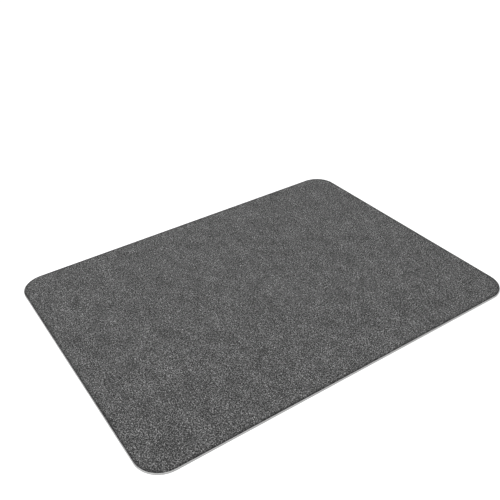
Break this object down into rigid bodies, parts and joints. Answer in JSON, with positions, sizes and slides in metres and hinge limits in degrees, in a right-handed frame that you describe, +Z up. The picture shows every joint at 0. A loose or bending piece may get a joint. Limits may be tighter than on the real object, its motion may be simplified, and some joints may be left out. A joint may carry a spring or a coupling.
{
  "type": "chair mat",
  "caption": "Flat carpeted floor mat for a rolling office chair: rounded rectangle, low dark heather-grey pile laminated to a pale anti-slip base.",
  "frame": {"origin": "middle of the underside, on the floor", "axes": "+X along the long sides, +Y along the short sides, +Z up through the pile"},
  "size_m": [1.219, 0.914, 0.0067],
  "materials": {
    "anti_slip_base": "matte, fine raised grip pattern on the underside, cut sides",
    "bond_film": "matte cured adhesive",
    "scrim": "matte plain weave",
    "pile_face": "low sheared pile, heather of dark, mid and pale grey fibres"
  },
  "bodies": {
    "root": {"anti_slip_base": "anti_slip_base", "bond_film": "bond_film", "scrim": "scrim", "pile_face": "pile_face"}
  },
  "joints": []
}
